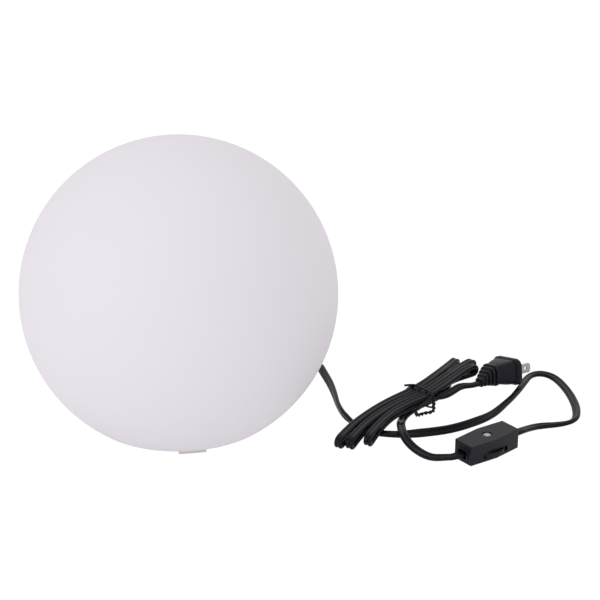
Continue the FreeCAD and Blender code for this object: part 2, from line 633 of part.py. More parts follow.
def section(points, width, thick, across):
    """A flat section with round edges, square to the path's start and wide along across."""
    at, heading = points[0], (points[1] - points[0]).normalize()
    across = (across - heading * across.dot(heading)).normalize()
    flat, edge = across * ((width - thick) / 2), across * (width / 2)
    up = heading.cross(across) * (thick / 2)
    return Part.Wire([
        Part.makeLine(at + flat + up, at - flat + up),
        Part.Arc(at - flat + up, at - edge, at - flat - up).toShape(),
        Part.makeLine(at - flat - up, at + flat - up),
        Part.Arc(at + flat - up, at + edge, at + flat + up).toShape()])


def swept(name, points, profile, area):
    """One unbroken tube along a route; its least radius, length and volume are printed."""
    edges, radii = route(points)
    shell = Part.BRepOffsetAPI.MakePipeShell(Part.Wire(edges))
    shell.add(profile)
    shell.build()
    shell.makeSolid()
    item = doc.addObject("Part::Feature", name)
    item.Shape = shell.shape()
    length = sum(edge.Length for edge in edges)
    print("%s: length %.1f, least radius %.1f, volume %.1f against %.1f" % (
        name, length, min(radii), item.Shape.Volume, area * length))
    return item


def round_profile(points, radius):
    return Part.Wire(Part.makeCircle(radius, points[0], points[1] - points[0]))


CORD_AREA = value_of("(cord_width - cord_thick) * cord_thick") + math.pi * size("cord_thick") ** 2 / 4
FLOOR_MIDDLE = value_of("floor_gap + cord_thick / 2")


def cord(name, points, across):
    profile = section(points, size("cord_width"), size("cord_thick"), across)
    return keep(swept(name, points, profile, CORD_AREA), name)


def at_switch(along, side=0.0):
    """A point on the switch's long axis at the height of its cord ports."""
    turn = math.radians(size("switch_yaw"))
    return Vector(size("switch_x") + along * math.cos(turn), size("switch_y") + along * math.sin(turn),
                  value_of("floor_gap + switch_split + port_lift"))


def at_outlet(reach, height, turn=0.0):
    """A point at a reach from the ball's axis, in the cord outlet's direction."""
    angle = math.radians(size("outlet_angle") + turn)
    return Vector(reach * math.cos(angle), reach * math.sin(angle), height)


outlet_across = Vector(-math.sin(math.radians(size("outlet_angle"))),
                       math.cos(math.radians(size("outlet_angle"))), 0)
bushing_end = value_of(PANEL_LOW + " - bushing_drop")
reach = size("outlet_reach")
lead_floor = [(47, 67), (62, 87), (80, 100), (101, 99), (113.5, 88), (117, 72), (122, 52), (125.5, 30),
              (128, 8), (134, -13), (150, -35), (174, -40.5), (197, -39), (218, -33), (237, -21),
              (253.5, -5.5), (266, 12), (278.5, 32), (288, 53), (295, 69), (304, 76), (314, 68),
              (321, 46), (324.5, 21), (324, -1), (320, -17), (308, -22.5), (290, -24)]
PORT_END = value_of("switch_length / 2 - port_depth")
cord("cord_lead",
     [at_outlet(reach, bushing_end), at_outlet(reach, bushing_end - 4.5),
      at_outlet(reach + 3.3, bushing_end - 9.5), at_outlet(reach + 9.5, FLOOR_MIDDLE + 0.8),
      at_outlet(reach + 18, FLOOR_MIDDLE), at_outlet(reach + 28, FLOOR_MIDDLE)]
     + [Vector(x, y, FLOOR_MIDDLE) for x, y in lead_floor]
     + [Vector(279, -34, 4.5), at_switch(PORT_END + 13), at_switch(PORT_END)], outlet_across)

# the hank's own frame: t along the bundle, s across it
HANK_HEADING = math.atan2(0.7912, 0.6115)


def in_hank(t, s, z):
    c, d = math.cos(HANK_HEADING), math.sin(HANK_HEADING)
    return Vector(c * t + d * s, d * t - c * s, z)


WAIST, WAIST_IN, WAIST_LOW, WAIST_TOP = 140.0, 4.4, 8.7, 13.2
COLUMNS = [133.6, 141.5, 149.4]
LEFT_STATION, RIGHT_STATION = 100.0, 176.0
LEFT_TIPS = [(27.0, 135.0), (25.0, 146.0), (41.0, 156.0)]
RIGHT_TIPS = [(213.0, 129.5, 4.8), (222.0, 142.5, 7.4), (209.0, 155.0, 7.4)]
LEFT_BOW, FOLD = 9.0, 7.7
TIP_SLOPES, TIP_RUNS = [-0.12, 0.05, 0.12], [12.0, 16.0, 12.0]
hank_join = in_hank(103, 152.05, 4.8)
cord("cord_tail", [at_switch(-PORT_END), at_switch(-PORT_END - 13), Vector(196.6, -79.7, 3.6),
                   Vector(188.1, -65.3, 3.2), Vector(176.7, -49, 6.4), Vector(178.4, -32.9, 6.4),
                   in_hank(91, 155.5, 5.2), hank_join],
     Vector(-math.sin(math.radians(size("switch_yaw"))), math.cos(math.radians(size("switch_yaw"))), 0))


def left_half(column, tip, low):
    """The corners from a left tip to just before the waist, on the loop's lower or upper side."""
    tip_t, tip_s = LEFT_TIPS[tip]
    heights = (2.6, 4.2, 7.2, 8.6) if low else (2.6 + FOLD, 11.6, 12.8, 13.6)
    points = []
    for run, z in zip((0, 13, 34, LEFT_STATION - tip_t), heights):
        part_way = run / (WAIST - tip_t)
        bow = LEFT_BOW * math.sin(math.pi * part_way)
        points.append(in_hank(tip_t + run, tip_s + (COLUMNS[column] - tip_s) * part_way - bow, z))
    return points


def right_half(column, tip, low):
    """The corners from just after the waist to a right tip."""
    tip_t, tip_s, tip_z = RIGHT_TIPS[tip]
    heights = (8.7, tip_z + 0.9, tip_z) if low else (13.6, tip_z + FOLD, tip_z + FOLD)
    points = []
    for run, z in zip((tip_t - RIGHT_STATION, TIP_RUNS[tip], 0), heights):
        part_way = run / (tip_t - WAIST)
        s = tip_s + (COLUMNS[column] - tip_s) * part_way + 1.5 * math.sin(math.pi * part_way)
        # both sides of a fold lie over one line, so that the flat cord folds flat
        if run <= TIP_RUNS[tip]:
            s = tip_s - TIP_SLOPES[tip] * run
        points.append(in_hank(tip_t - run, s, z))
    return points


hank_points = [hank_join, in_hank(115, 148.6, WAIST_IN), in_hank(WAIST, COLUMNS[2], WAIST_IN),
               in_hank(160, 151.0, 4.1), in_hank(180, 142.0, 3.9), in_hank(201, 130.9, 4.3),
               in_hank(213, 129.5, 4.8)]
for loop in range(3):
    top = right_half(loop, loop, False)[::-1] + [in_hank(WAIST, COLUMNS[loop], WAIST_TOP)] \
        + left_half(loop, loop, False)[::-1]
    bottom = left_half(loop, loop, True) + [in_hank(WAIST, COLUMNS[loop], WAIST_LOW)]
    hank_points += top + bottom
    if loop < 2:
        hank_points += right_half(loop, loop + 1, True)
plug_axis = plug_turn.multVec(Vector(1, 0, 0))
hank_points += [in_hank(149.5, 155, 8.5), in_hank(156, 164.5, 11.6), in_hank(161, 173.5, 15.6),
                PLUG_TAIL - plug_axis * 8.0, PLUG_TAIL]
cord("cord_hank", hank_points, in_hank(0, 1, 0))


def path_samples(edges, step):
    """Points along a path with their distance from its start and the path's heading there."""
    found, run = [], 0.0
    for edge in edges:
        count = max(2, int(edge.Length / step))
        for i in range(count):
            at = edge.FirstParameter + (edge.LastParameter - edge.FirstParameter) * i / count
            found.append((run + edge.Length * i / count, edge.valueAt(at), edge.tangentAt(at)))
        run += edge.Length
    return found


def least_gap(edges):
    """The least gap between strands: from points round one section to the flat outline of another."""
    half_flat = (size("cord_width") - size("cord_thick")) / 2
    round_edge = size("cord_thick") / 2
    frames = []
    for run, here, heading in path_samples(edges, 1.5):
        across = in_hank(0, 1, 0)
        across = (across - heading * across.dot(heading)).normalize()
        up = heading.cross(across)
        rim = [here + across * x + up * z for x, z in (
            (-half_flat, round_edge), (0, round_edge), (half_flat, round_edge),
            (half_flat + round_edge, 0), (half_flat, -round_edge), (0, -round_edge),
            (-half_flat, -round_edge), (-half_flat - round_edge, 0))]
        frames.append((run, here, heading, across, up, rim))
    best = (1e9, None)
    for run, here, _, _, _, rim in frames:
        for other_run, there, heading, across, up, _ in frames:
            if abs(other_run - run) < 30 or here.distanceToPoint(there) > 12:
                continue
            for point in rim:
                away = point - there
                if abs(away.dot(heading)) < 1.5:
                    beside = max(abs(away.dot(across)) - half_flat, 0)
                    best = min(best, (math.hypot(beside, away.dot(up)) - round_edge,
                                      (round(run), round(other_run))))
    return best


print("hank: least gap to itself %.2f at %s" % least_gap(route(hank_points)[0]))

# --- wires inside, from the bushing to the two terminals
wire_paths = []
for side, angle in ((-1, terminal_angles[0]), (1, terminal_angles[1])):
    turn = angle - size("outlet_angle")
    foot = at_outlet(reach, value_of(PANEL + " + bushing_lip")) + outlet_across * (1.8 * side)
    level = value_of(TERMINAL_Z)
    wire_paths.append([foot, foot + Vector(0, 0, 5), at_outlet(34, level + 0.8, side * 17),
                       at_outlet(33.5, level + 1.2, side * 34), at_outlet(32, level, turn),
                       at_outlet(value_of("holder_radius + screw_head_height"), level, turn)])
WIRE_AREA = math.pi * size("wire_radius") ** 2
keep(group("inner_leads", *[
    swept("inner_lead_%d" % i, path, round_profile(path, size("wire_radius")), WIRE_AREA)
    for i, path in enumerate(wire_paths)]), "inner_leads")

# --- wire tie: a ring round the hank's waist, a free end and a twisted end bent back
tie_radius = size("tie_thick") / 2
half_width, half_thick = size("cord_width") / 2, size("cord_thick") / 2
side, flat = size("tie_side_gap") + tie_radius, size("tie_flat_gap") + tie_radius
tie_low, tie_top = WAIST_IN - half_thick - flat, WAIST_TOP + half_thick + flat
tie_left, tie_right = COLUMNS[0] - half_width - side, COLUMNS[2] + half_width + side
bevel = size("tie_corner")
ring_start = (tie_left + tie_right) / 2
ring = [in_hank(WAIST, s, z) for s, z in (
    (ring_start, tie_top), (tie_right - bevel, tie_top), (tie_right, tie_top - bevel),
    (tie_right, tie_low + bevel), (tie_right - bevel, tie_low), (tie_left + bevel, tie_low),
    (tie_left, tie_low + bevel), (tie_left, tie_top - bevel), (tie_left + bevel, tie_top),
    (ring_start, tie_top))]
TIE_AREA = math.pi * tie_radius ** 2
free_end = [in_hank(WAIST, tie_left, 13), in_hank(139, 125, 13.4), in_hank(137.5, 122.5, 10.5),
            in_hank(137, 126, 8)]
twisted = [in_hank(WAIST, tie_right, 8), in_hank(135.5, 158.5, 7.5), in_hank(128, 161.5, 3.6),
           in_hank(114.5, 157.5, 2.6), in_hank(115.5, 154.8, 6.5), in_hank(127.5, 155, 8)]
keep(fuse("twist_tie", *[swept("tie_" + name, path, round_profile(path, tie_radius), TIE_AREA)
                         for name, path in (("ring", ring), ("free_end", free_end), ("twisted", twisted))]),
     "twist_tie")

doc.recompute()
faulty = [item.Label for item in doc.Objects if {"Invalid", "Error"} & set(item.State)]
assert not faulty, faulty
for item in parts:
    assert not item.Shape.isNull() and item.Shape.isValid(), item.Label
    box_of = item.Shape.optimalBoundingBox()
    corners = (box_of.XMin, box_of.XMax, box_of.YMin, box_of.YMax, box_of.ZMin, box_of.ZMax)
    print(item.Label, round(item.Shape.Volume, 1), len(item.Shape.Solids),
          [round(value, 1) for value in corners])
os.makedirs("parts", exist_ok=True)
for item in parts:
    item.Shape.exportStep("parts/%s.step" % item.Label)
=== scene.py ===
"""Garden globe light: a white ball on a low footed base, with a black twin cord
that carries a switch, a folded hank under a wire tie, and a two-blade plug.
Lengths are in millimetres and angles in degrees, unless a name or comment says otherwise."""
import math

import bpy
import numpy as np
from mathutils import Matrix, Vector


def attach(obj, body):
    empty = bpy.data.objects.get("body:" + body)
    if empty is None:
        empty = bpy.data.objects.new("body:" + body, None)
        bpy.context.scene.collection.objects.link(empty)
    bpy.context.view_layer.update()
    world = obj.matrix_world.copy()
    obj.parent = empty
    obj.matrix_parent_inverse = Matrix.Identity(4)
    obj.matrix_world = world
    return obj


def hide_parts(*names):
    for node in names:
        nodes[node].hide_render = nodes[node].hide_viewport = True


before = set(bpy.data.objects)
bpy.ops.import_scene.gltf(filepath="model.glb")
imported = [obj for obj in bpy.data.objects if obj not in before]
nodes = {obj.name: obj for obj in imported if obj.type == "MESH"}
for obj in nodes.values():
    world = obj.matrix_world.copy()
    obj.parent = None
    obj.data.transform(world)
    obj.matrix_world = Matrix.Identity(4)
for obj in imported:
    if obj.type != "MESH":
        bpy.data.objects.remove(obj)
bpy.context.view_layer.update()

scene = bpy.context.scene
MM_PER_METRE = 1000.0
UP = np.array([0.0, 0.0, 1.0])


def in_metres(point):
    """A point in millimetres, given in metres."""
    return tuple(c / MM_PER_METRE for c in point)


# ------------------------------------------------------------------ camera
LENS, SENSOR = 108.0, 36.0
CAMERA_METRES, CAMERA_TILT = (0.0964, -1.3248, 0.6670), 66.92
camera_data = bpy.data.cameras.new("camera")
camera_data.lens, camera_data.sensor_width = LENS, SENSOR
camera = bpy.data.objects.new("camera", camera_data)
camera.location = CAMERA_METRES
camera.rotation_euler = (math.radians(CAMERA_TILT), 0.0, 0.0)
scene.collection.objects.link(camera)
scene.camera = camera

# ------------------------------------------------------------------ materials
BROAD_SCALE, BROAD_DETAIL, FINE_DETAIL = 35.0, 4.0, 3.0
BUMP_METRES, ROUGH_CHANGE = 0.001, 0.06
GLOW_DEPTH_METRES = (0.012, 0.011, 0.012)


def new_material(name):
    """A material with its node tree and main shader."""
    material = bpy.data.materials.new(name)
    material.use_nodes = True
    tree = material.node_tree
    return material, tree, tree.nodes["Principled BSDF"]


def noise(tree, place, scale, detail):
    """A noise pattern that stays put on the piece."""
    pattern = tree.nodes.new("ShaderNodeTexNoise")
    pattern.inputs["Scale"].default_value = scale
    pattern.inputs["Detail"].default_value = detail
    tree.links.new(place.outputs["Object"], pattern.inputs["Vector"])
    return pattern


def grained(name, color, roughness, grain=900.0, depth=0.02, speckle=0.04, sheen=0.5,
            subsurface=0.0, metallic=0.0):
    """A moulded or metal surface: fine noise in the bump, broad noise in tone and roughness.
    grain is the scale of the fine noise, depth its bump and speckle the stray share of the tone."""
    material, tree, shader = new_material(name)
    add, link = tree.nodes.new, tree.links.new
    place = add("ShaderNodeTexCoord")
    fine = noise(tree, place, grain, FINE_DETAIL)
    broad = noise(tree, place, BROAD_SCALE, BROAD_DETAIL)
    bump = add("ShaderNodeBump")
    bump.inputs["Strength"].default_value = depth
    bump.inputs["Distance"].default_value = BUMP_METRES
    link(fine.outputs["Fac"], bump.inputs["Height"])
    link(bump.outputs["Normal"], shader.inputs["Normal"])
    tone = add("ShaderNodeMix")
    tone.data_type = "RGBA"
    tone.inputs["A"].default_value = (*[c * (1.0 - speckle) for c in color], 1.0)
    tone.inputs["B"].default_value = (*[min(1.0, c * (1.0 + speckle)) for c in color], 1.0)
    link(broad.outputs["Fac"], tone.inputs["Factor"])
    link(tone.outputs["Result"], shader.inputs["Base Color"])
    gloss = add("ShaderNodeMapRange")
    gloss.inputs["To Min"].default_value = roughness - ROUGH_CHANGE
    gloss.inputs["To Max"].default_value = roughness + ROUGH_CHANGE
    link(broad.outputs["Fac"], gloss.inputs["Value"])
    link(gloss.outputs["Result"], shader.inputs["Roughness"])
    shader.inputs["Specular IOR Level"].default_value = sheen
    shader.inputs["Metallic"].default_value = metallic
    if subsurface:
        shader.inputs["Subsurface Weight"].default_value = subsurface
        shader.inputs["Subsurface Radius"].default_value = GLOW_DEPTH_METRES
        shader.inputs["Subsurface Scale"].default_value = 1.0
    return material


GLOBE = grained("globe_plastic", (0.765, 0.725, 0.775), 0.55, grain=1400, depth=0.008,
                speckle=0.008, sheen=0.22)
BASE = grained("base_plastic", (0.70, 0.68, 0.67), 0.5, depth=0.015, speckle=0.02)
FOOT = grained("foot_plastic", (0.66, 0.64, 0.62), 0.55, depth=0.03, speckle=0.03)
HOLDER = grained("holder_plastic", (0.72, 0.70, 0.66), 0.4, speckle=0.02)
BRASS = grained("brass_strip", (0.72, 0.52, 0.22), 0.28, metallic=1.0, depth=0.04)
ZINC = grained("zinc_steel", (0.66, 0.66, 0.67), 0.3, metallic=1.0, depth=0.05)
CAP = grained("cap_aluminium", (0.78, 0.78, 0.78), 0.3, metallic=1.0, depth=0.05)
INSULATOR = grained("insulator_black", (0.012, 0.012, 0.014), 0.15)
BULB = grained("bulb_white", (0.80, 0.80, 0.79), 0.35, speckle=0.01)
BOARD = grained("board_aluminium", (0.74, 0.74, 0.72), 0.45, metallic=0.3)
OPAL = grained("bulb_opal", (0.86, 0.86, 0.83), 0.3, speckle=0.005, subsurface=0.2)
CORD = grained("cord_vinyl", (0.0036, 0.0032, 0.0068), 0.24, grain=700, depth=0.04,
               speckle=0.2, sheen=0.15)
TIE = grained("tie_black", (0.005, 0.0045, 0.0075), 0.35, depth=0.05, speckle=0.2, sheen=0.25)
SWITCH = grained("switch_black", (0.0060, 0.0055, 0.0108), 0.32, grain=1100, speckle=0.15,
                 sheen=0.2)
WHEEL = grained("wheel_black", (0.0065, 0.006, 0.0108), 0.35, speckle=0.15, sheen=0.25)
PLUG = grained("plug_vinyl", (0.0080, 0.0074, 0.0125), 0.34, depth=0.05, speckle=0.2, sheen=0.16)
SCREW = grained("screw_steel", (0.40, 0.37, 0.37), 0.25, metallic=1.0, depth=0.05)
BLADE = grained("blade_nickel", (0.43, 0.385, 0.38), 0.32, metallic=1.0, depth=0.08, speckle=0.1)

# ------------------------------------------------------------------ mesh building
LATHE_CREASE, LOFT_CREASE, PORT_CREASE = 35, 30, 40
THREAD_FADE, MOST_CORNER = 1.5, 0.98


def make_piece(name, points, faces, material, body, crease=None):
    """A mesh object from points in millimetres, riding on a body. Edges bent by more than
    the crease angle stay sharp."""
    mesh = bpy.data.meshes.new(name)
    mesh.from_pydata((np.asarray(points) / MM_PER_METRE).tolist(), [], faces)
    mesh.update()
    mesh.shade_smooth()
    if crease:
        mesh.set_sharp_from_angle(angle=math.radians(crease))
    mesh.materials.append(material)
    piece = bpy.data.objects.new(name, mesh)
    scene.collection.objects.link(piece)
    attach(piece, body)
    return piece


def sheet_faces(rows, columns, wrap_rows=False, wrap_columns=False):
    """The quads of a grid of points numbered row by row. The one at row i and column j joins
    points (i, j), (i, j + 1), (i + 1, j + 1) and (i + 1, j), and a wrapped way ends on its start."""
    row = np.arange(rows if wrap_rows else rows - 1)[:, None]
    column = np.arange(columns if wrap_columns else columns - 1)[None, :]
    next_row, next_column = (row + 1) % rows, (column + 1) % columns
    corners = (row * columns + column, row * columns + next_column,
               next_row * columns + next_column, next_row * columns + column)
    return np.stack(corners, axis=-1).reshape(-1, 4).tolist()


def tube_faces(rings, count):
    """The faces of a tube, from rings of count points each, and of its two closed ends. The
    rings run anticlockwise as seen from the tube's far end."""
    first_ring = list(range(count))
    last_ring = list(range((rings - 1) * count, rings * count))
    return sheet_faces(rings, count, wrap_columns=True) + [first_ring[::-1], last_ring]


def lathe(name, profile, material, body, turns=96, carve=None):
    """A closed profile of (radius, height) turned about the Z axis: the point of profile step
    (r, z) at angle a is (r cos a, r sin a, z). carve(r, z, a) is added to r, for a thread's dip."""
    profile = np.asarray(profile, float)
    angle = np.linspace(0, 2 * math.pi, turns, endpoint=False)[None, :]
    r, z = profile[:, 0][:, None] + 0 * angle, profile[:, 1][:, None] + 0 * angle
    if carve:
        r = r + carve(r, z, angle)
    points = np.stack([r * np.cos(angle), r * np.sin(angle), z], axis=-1)
    faces = sheet_faces(len(profile), turns, wrap_rows=True, wrap_columns=True)
    return make_piece(name, points.reshape(-1, 3), faces, material, body, LATHE_CREASE)


def thread(low, high, pitch, depth, least):
    """A right-hand thread's dip in radius, between two heights and outside a least radius. It is
    half the depth times (1 - cos(angle risen by z less a)), and fades out at both ends."""
    def dip(r, z, angle):
        fade = np.clip(np.minimum(z - low, high - z) / pitch * THREAD_FADE, 0, 1)
        wave = 0.5 - 0.5 * np.cos(2 * math.pi * z / pitch - angle)
        return -depth * fade * wave * (r > least)
    return dip


def line(start, end, step):
    """Evenly spaced points (r, z) from start up to, but without, end."""
    count = max(1, int(math.dist(start, end) / step))
    return np.linspace(start, end, count, endpoint=False)


def arc(centre, radius, start, end, count):
    """Points (r, z) of an arc, from start to end in degrees from the +r direction: the centre
    plus the radius times (cos, sin) of the angle."""
    angle = np.radians(np.linspace(start, end, count))
    return np.stack([centre[0] + radius * np.cos(angle), centre[1] + radius * np.sin(angle)], axis=-1)


def round_outline(radius, count=12):
    """The points of a circle, anticlockwise: the radius times (cos, sin) of each angle."""
    angle = np.linspace(0, 2 * math.pi, count, endpoint=False)
    return np.stack([radius * np.cos(angle), radius * np.sin(angle)], axis=-1)


def rounded_ring(half_width, half_height, corner, steps=7):
    """The points of a rounded rectangle, anticlockwise: a quarter circle about each corner's
    centre, which stands in from the sides by the corner radius."""
    corner = min(corner, half_width * MOST_CORNER, half_height * MOST_CORNER)
    quarter = np.radians(np.linspace(0, 90, steps))
    quarters = []
    for turn, (sy, sz) in enumerate(((1, 1), (-1, 1), (-1, -1), (1, -1))):
        angle = quarter + turn * math.pi / 2
        quarters.append(np.stack([sy * (half_width - corner) + corner * np.cos(angle),
                                  sz * (half_height - corner) + corner * np.sin(angle)], axis=-1))
    return np.vstack(quarters)


def turned(yaw, pitch=0.0, roll=0.0):
    """The matrix of a turn about Z, then a dip of the nose and a roll."""
    a, b, c = np.radians([yaw, pitch, roll])
    rz = np.array([[np.cos(a), -np.sin(a), 0], [np.sin(a), np.cos(a), 0], [0, 0, 1]])
    ry = np.array([[np.cos(b), 0, np.sin(b)], [0, 1, 0], [-np.sin(b), 0, np.cos(b)]])
    rx = np.array([[1, 0, 0], [0, np.cos(c), -np.sin(c)], [0, np.sin(c), np.cos(c)]])
    return rz @ ry @ rx


def lofted(name, stations, turn, origin, droop, material, body):
    """Rounded rectangles (x, half width, half height, corner) joined along a local x axis, each
    lowered by droop(x), then turned by a matrix and moved to the origin point."""
    rings = []
    for x, half_width, half_height, corner in stations:
        ring = rounded_ring(half_width, half_height, corner)
        ring[:, 1] -= droop(x)
        rings.append(np.column_stack([np.full(len(ring), x), ring]))
    points = np.vstack(rings) @ turn.T + origin
    return make_piece(name, points, tube_faces(len(rings), len(rings[0])), material, body, LOFT_CREASE)


def run_lengths(points):
    """The length of a path up to each of its points."""
    steps = np.linalg.norm(np.diff(points, axis=0), axis=1)
    return np.concatenate([[0.0], np.cumsum(steps)])


def swept(name, path, across, outline, material, body, twist=0.0):
    """An outline of (sideways, upwards) offsets carried along a path: each point is the path
    point plus the offsets times two directions. Sideways is across made square to the heading,
    upwards is square to both, and twist turns them about the path, in degrees a millimetre."""
    heading = np.gradient(path, axis=0)
    heading /= np.linalg.norm(heading, axis=1)[:, None]
    side = across - heading * np.sum(across * heading, axis=1)[:, None]
    side /= np.linalg.norm(side, axis=1)[:, None]
    up = np.cross(heading, side)
    if twist:
        turn = np.radians(twist * run_lengths(path))[:, None]
        side, up = side * np.cos(turn) + up * np.sin(turn), up * np.cos(turn) - side * np.sin(turn)
    rings = (path[:, None, :] + side[:, None, :] * outline[None, :, 0:1]
             + up[:, None, :] * outline[None, :, 1:2])
    return make_piece(name, rings.reshape(-1, 3), tube_faces(len(path), len(outline)), material, body)


# ------------------------------------------------------------------ cord section and routes
# a core's radius, how far its arc reaches to each side, and half the thickness of the web
CORE, CORE_REACH, WEB_HALF = 1.8, 124, 1.02
CORE_STEPS, ROUTE_STEPS = 10, 14
# a path whose level share is less than this is steep
STEEP = 0.15


def twin_outline():
    """The section of the twin cord: two round cores side by side, each an arc about a centre one
    core radius off the middle, and a web between them."""
    reach = np.radians(np.linspace(-CORE_REACH, CORE_REACH, CORE_STEPS))
    right = np.stack([CORE + CORE * np.cos(reach), CORE * np.sin(reach)], axis=-1)
    return np.vstack([right, [[0.0, WEB_HALF]], -right, [[0.0, -WEB_HALF]]])


def spline_points(name, points):
    """Points read from the smooth line that has the route's points as its control points."""
    curve = bpy.data.curves.new(name, "CURVE")
    curve.dimensions = "3D"
    curve.resolution_u = ROUTE_STEPS
    route = curve.splines.new("NURBS")
    route.points.add(len(points) - 1)
    for target, point in zip(route.points, points):
        target.co = (*in_metres(point), 1.0)
    route.order_u = 3
    route.use_endpoint_u = True
    holder = bpy.data.objects.new(name, curve)
    mesh = bpy.data.meshes.new_from_object(holder)
    found = np.array([v.co[:] for v in mesh.vertices]) * MM_PER_METRE
    bpy.data.objects.remove(holder)
    bpy.data.curves.remove(curve)
    bpy.data.meshes.remove(mesh)
    return found


def along_route(control, path, values):
    """Values given at the control points, read at each path point by its share of the length."""
    at_control = run_lengths(np.asarray(control, float))
    at_path = run_lengths(path)
    return np.interp(at_path / at_path[-1], at_control / at_control[-1], values)


def leaned(path, lean, start_side):
    """The wide direction of the cord: level and to the left of its heading, then leaned up by an
    angle. Where the path is steep, start_side stands for the level direction."""
    heading = np.gradient(path, axis=0)
    level = np.cross(UP, heading)
    steep = np.linalg.norm(level, axis=1) < STEEP * np.linalg.norm(heading, axis=1)
    level[steep] = start_side
    level /= np.linalg.norm(level, axis=1)[:, None]
    angle = np.radians(lean)[:, None]
    return level * np.cos(angle) + UP * np.sin(angle)


# ------------------------------------------------------------------ places that the cords meet
SWITCH_AT, SWITCH_Z, SWITCH_YAW = (243.3, -66.3), 7.3, math.radians(38.1)
OUTLET_REACH, OUTLET_ANGLE = 36.5, math.radians(55.0)
outlet_side = np.array([-math.sin(OUTLET_ANGLE), math.cos(OUTLET_ANGLE), 0.0])
BUNDLE_X, BUNDLE_Y = 0.6115, 0.7912
PLUG_TURN, PLUG_AT = turned(38.0, 5.0, -12.0), np.array([274.6, 58.8, 13.0])
DROOP_START, DROOP = -20.0, 0.0176
FLOOR_GAP = 0.15


def at_outlet(reach, height):
    """A point so far out from the middle of the base, in the outlet's direction, at a height."""
    return (reach * math.cos(OUTLET_ANGLE), reach * math.sin(OUTLET_ANGLE), height)


def at_switch(along):
    """A point on the switch's long axis, so far from its middle."""
    return (SWITCH_AT[0] + along * math.cos(SWITCH_YAW),
            SWITCH_AT[1] + along * math.sin(SWITCH_YAW), SWITCH_Z)


def in_hank(t, s, z):
    """A point of the hank: t along the bundle, s across it."""
    return (BUNDLE_X * t + BUNDLE_Y * s, BUNDLE_Y * t - BUNDLE_X * s, z)


def plug_droop(x):
    """How far the soft ribbed tail of the plug hangs below the plug's axis: a share of the
    square of the distance behind the start of the tail."""
    return DROOP * max(0.0, DROOP_START - x) ** 2


def at_plug(x, below):
    """A point on the plug's middle plane: x along its axis, towards the blades, and so far below."""
    return tuple(PLUG_TURN @ np.array([x, 0.0, -below]) + PLUG_AT)


def on_floor(x, y, lean):
    """A control point of a cord that lies on the floor, leaned up by an angle."""
    return (x, y, FLOOR_GAP + CORE + CORE * abs(math.sin(math.radians(lean)))), lean


# ------------------------------------------------------------------ cord from the base to the switch
lead = [(at_outlet(OUTLET_REACH + out, height), 0) for out, height in (
    (0, 15.0), (0, 10.5), (3.3, 5.5), (9.5, 2.7), (18, 1.95), (28, 1.95))]
# then points on the floor, as (x, y, lean)
lead += [on_floor(*entry) for entry in (
    (47, 67, 0), (62, 87, 0), (80, 100, 8), (101, 99, 24), (113.5, 88, 40), (117, 72, 48),
    (122, 52, 60), (125.5, 30, 78), (128, 8, 98), (134, -13, 103), (150, -35, 172), (174, -40.5, 188),
    (197, -39, 242), (218, -33, 242), (237, -21, 236), (253.5, -5.5, 192), (265, 12.5, 166),
    (277, 32, 147), (286, 53, 155), (292.5, 69, 166), (303, 76, 180), (314, 68, 184),
    (321, 46, 180), (324.5, 21, 186), (324, -1, 208), (320, -17, 215), (308, -22.5, 196),
    (290, -24, 180))]
lead += [((279, -34, 4.5), 180), (at_switch(35.0), 180), (at_switch(22.0), 180)]
lead_control = [point for point, _ in lead]
lead_path = spline_points("lead_line", lead_control)
lead_lean = along_route(lead_control, lead_path, [lean for _, lean in lead])
cord_lead = swept("cord_lead_twin", lead_path, leaned(lead_path, lead_lean, outlet_side),
                  twin_outline(), CORD, "base")
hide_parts("cord_lead")

# ------------------------------------------------------------------ cord from the switch to the plug
# The hank is three loops folded under the tie, each in its own column. Places in it are
# (t, s) as in in_hank, and heights are above the floor. FOLD is how far the upper side of a
# loop stands over its lower side at the tips. At the waist WAIST_IN is the height of the
# strand that runs in below the loops, WAIST_LOW and WAIST_TOP are those of each loop's sides,
# and WAIST_RISE is how much higher a side is at LEFT_STATION. Runs are distances from a tip.
LOOPS, FOLD = 3, 7.6
WAIST, WAIST_IN, WAIST_LEAN, WAIST_SPREAD = 140.0, 4.0, 12.0, 26.0
COLUMNS = [138.3, 145.55, 152.8]
WAIST_LOW, WAIST_TOP, WAIST_RISE = [7.9, 7.8, 7.7], [11.8, 11.65, 11.7], 0.3
LEFT_TIPS = [(26.8, 139.2), (31.0, 147.1), (44.0, 155.3)]
LEFT_RUNS, LEFT_STATION, LEFT_BOW = (0, 13, 34), 100.0, 7.0
LEFT_LOW, LEFT_TOP = (2.6, 4.9, 7.7), (2.6 + FOLD, 3.3 + FOLD, 11.6)
RIGHT_TIPS = [(210.5, 130.2, 2.8), (216.5, 143.0, 3.4), (204.5, 152.8, 5.5)]
RIGHT_STATION, RIGHT_BOWS = 176.0, [1.4, -0.4, -1.6]
RIGHT_LOW, RIGHT_TOP, TIP_RISE, TIP_DROP = 7.9, 12.0, 1.3, 0.1
TIP_SLOPES, TIP_RUNS = [-0.12, 0.05, 0.12], [12.0, 16.0, 12.0]
PLUG_END, LEAD_IN, LEAD_IN_DROOP = -35.9, -41.5, 5.6


